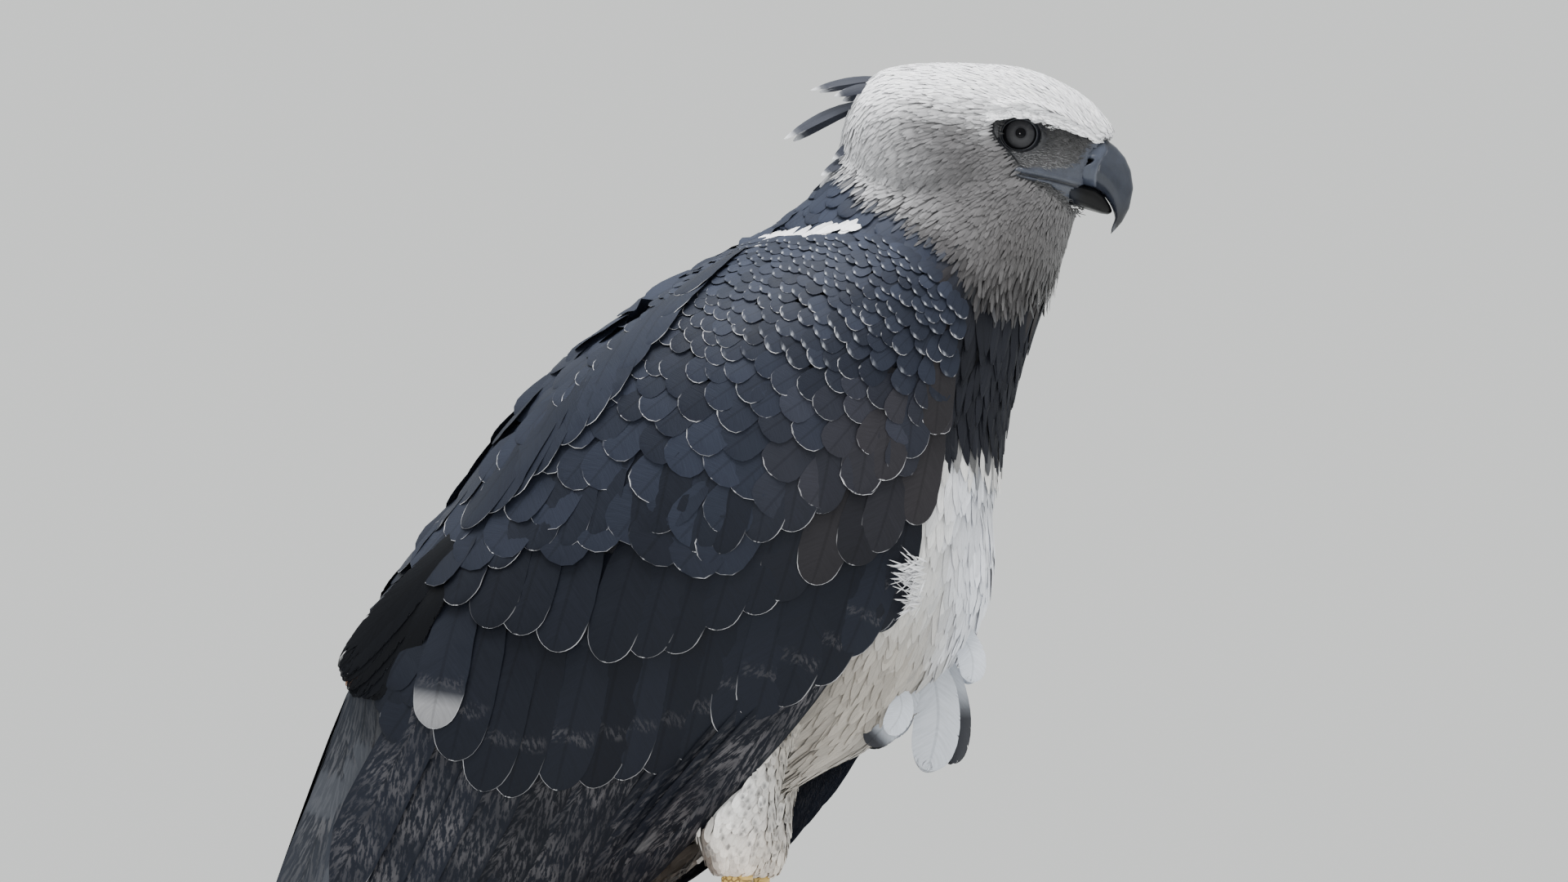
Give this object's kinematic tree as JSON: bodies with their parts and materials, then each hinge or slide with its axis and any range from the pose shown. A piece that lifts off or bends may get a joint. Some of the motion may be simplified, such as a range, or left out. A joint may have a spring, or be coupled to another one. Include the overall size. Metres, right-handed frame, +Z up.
{
  "type": "harpy eagle display model",
  "caption": "Life-size standing harpy eagle with folded wings and raised crest, gripping a cut branch on a plain flat stand.",
  "frame": {"origin": "centre of the stand's flat underside", "axes": "+Z up; the bird faces +X and its right side faces -Y; the branch lies along Y"},
  "size_m": [0.5465, 0.32, 0.7201],
  "materials": {
    "stand": "satin black paint",
    "rod": "satin black paint",
    "perch_wood": "weathered bare wood, split along the grain",
    "body_feathers": "soft white breast and belly feathers, a black band across the upper breast and a slate back",
    "neck_feathers": "grey to black overlapping feathers",
    "head_feathers": "white to pale grey ruffled feathers",
    "crest_feathers": "slate feathers with pale tips",
    "bill": "smooth slate horn with faint growth lines",
    "eye": "wet glossy grey iris and black pupil",
    "wing_feathers": "slate feathers with thin pale edges",
    "tail_feathers": "black feathers with grey bars",
    "leg_feathers": "short cream feathers with small dark marks",
    "foot_skin": "yellow scaled skin",
    "claw": "smooth black horn"
  },
  "bodies": {
    "root": {"stand_base": "stand", "stand_rod_left": "rod", "stand_rod_right": "rod", "perch": "perch_wood", "torso": "body_feathers", "neck": "neck_feathers", "head": "head_feathers", "crest": "crest_feathers", "bill_upper": "bill", "bill_lower": "bill", "eye_left": "eye", "eye_right": "eye", "wing_left": "wing_feathers", "wing_right": "wing_feathers", "tail": "tail_feathers", "thigh_left": "leg_feathers", "thigh_right": "leg_feathers", "foot_left": "foot_skin", "foot_right": "foot_skin", "claw_left_1": "claw", "claw_left_2": "claw", "claw_left_3": "claw", "claw_left_4": "claw", "claw_right_1": "claw", "claw_right_2": "claw", "claw_right_3": "claw", "claw_right_4": "claw"}
  },
  "joints": []
}
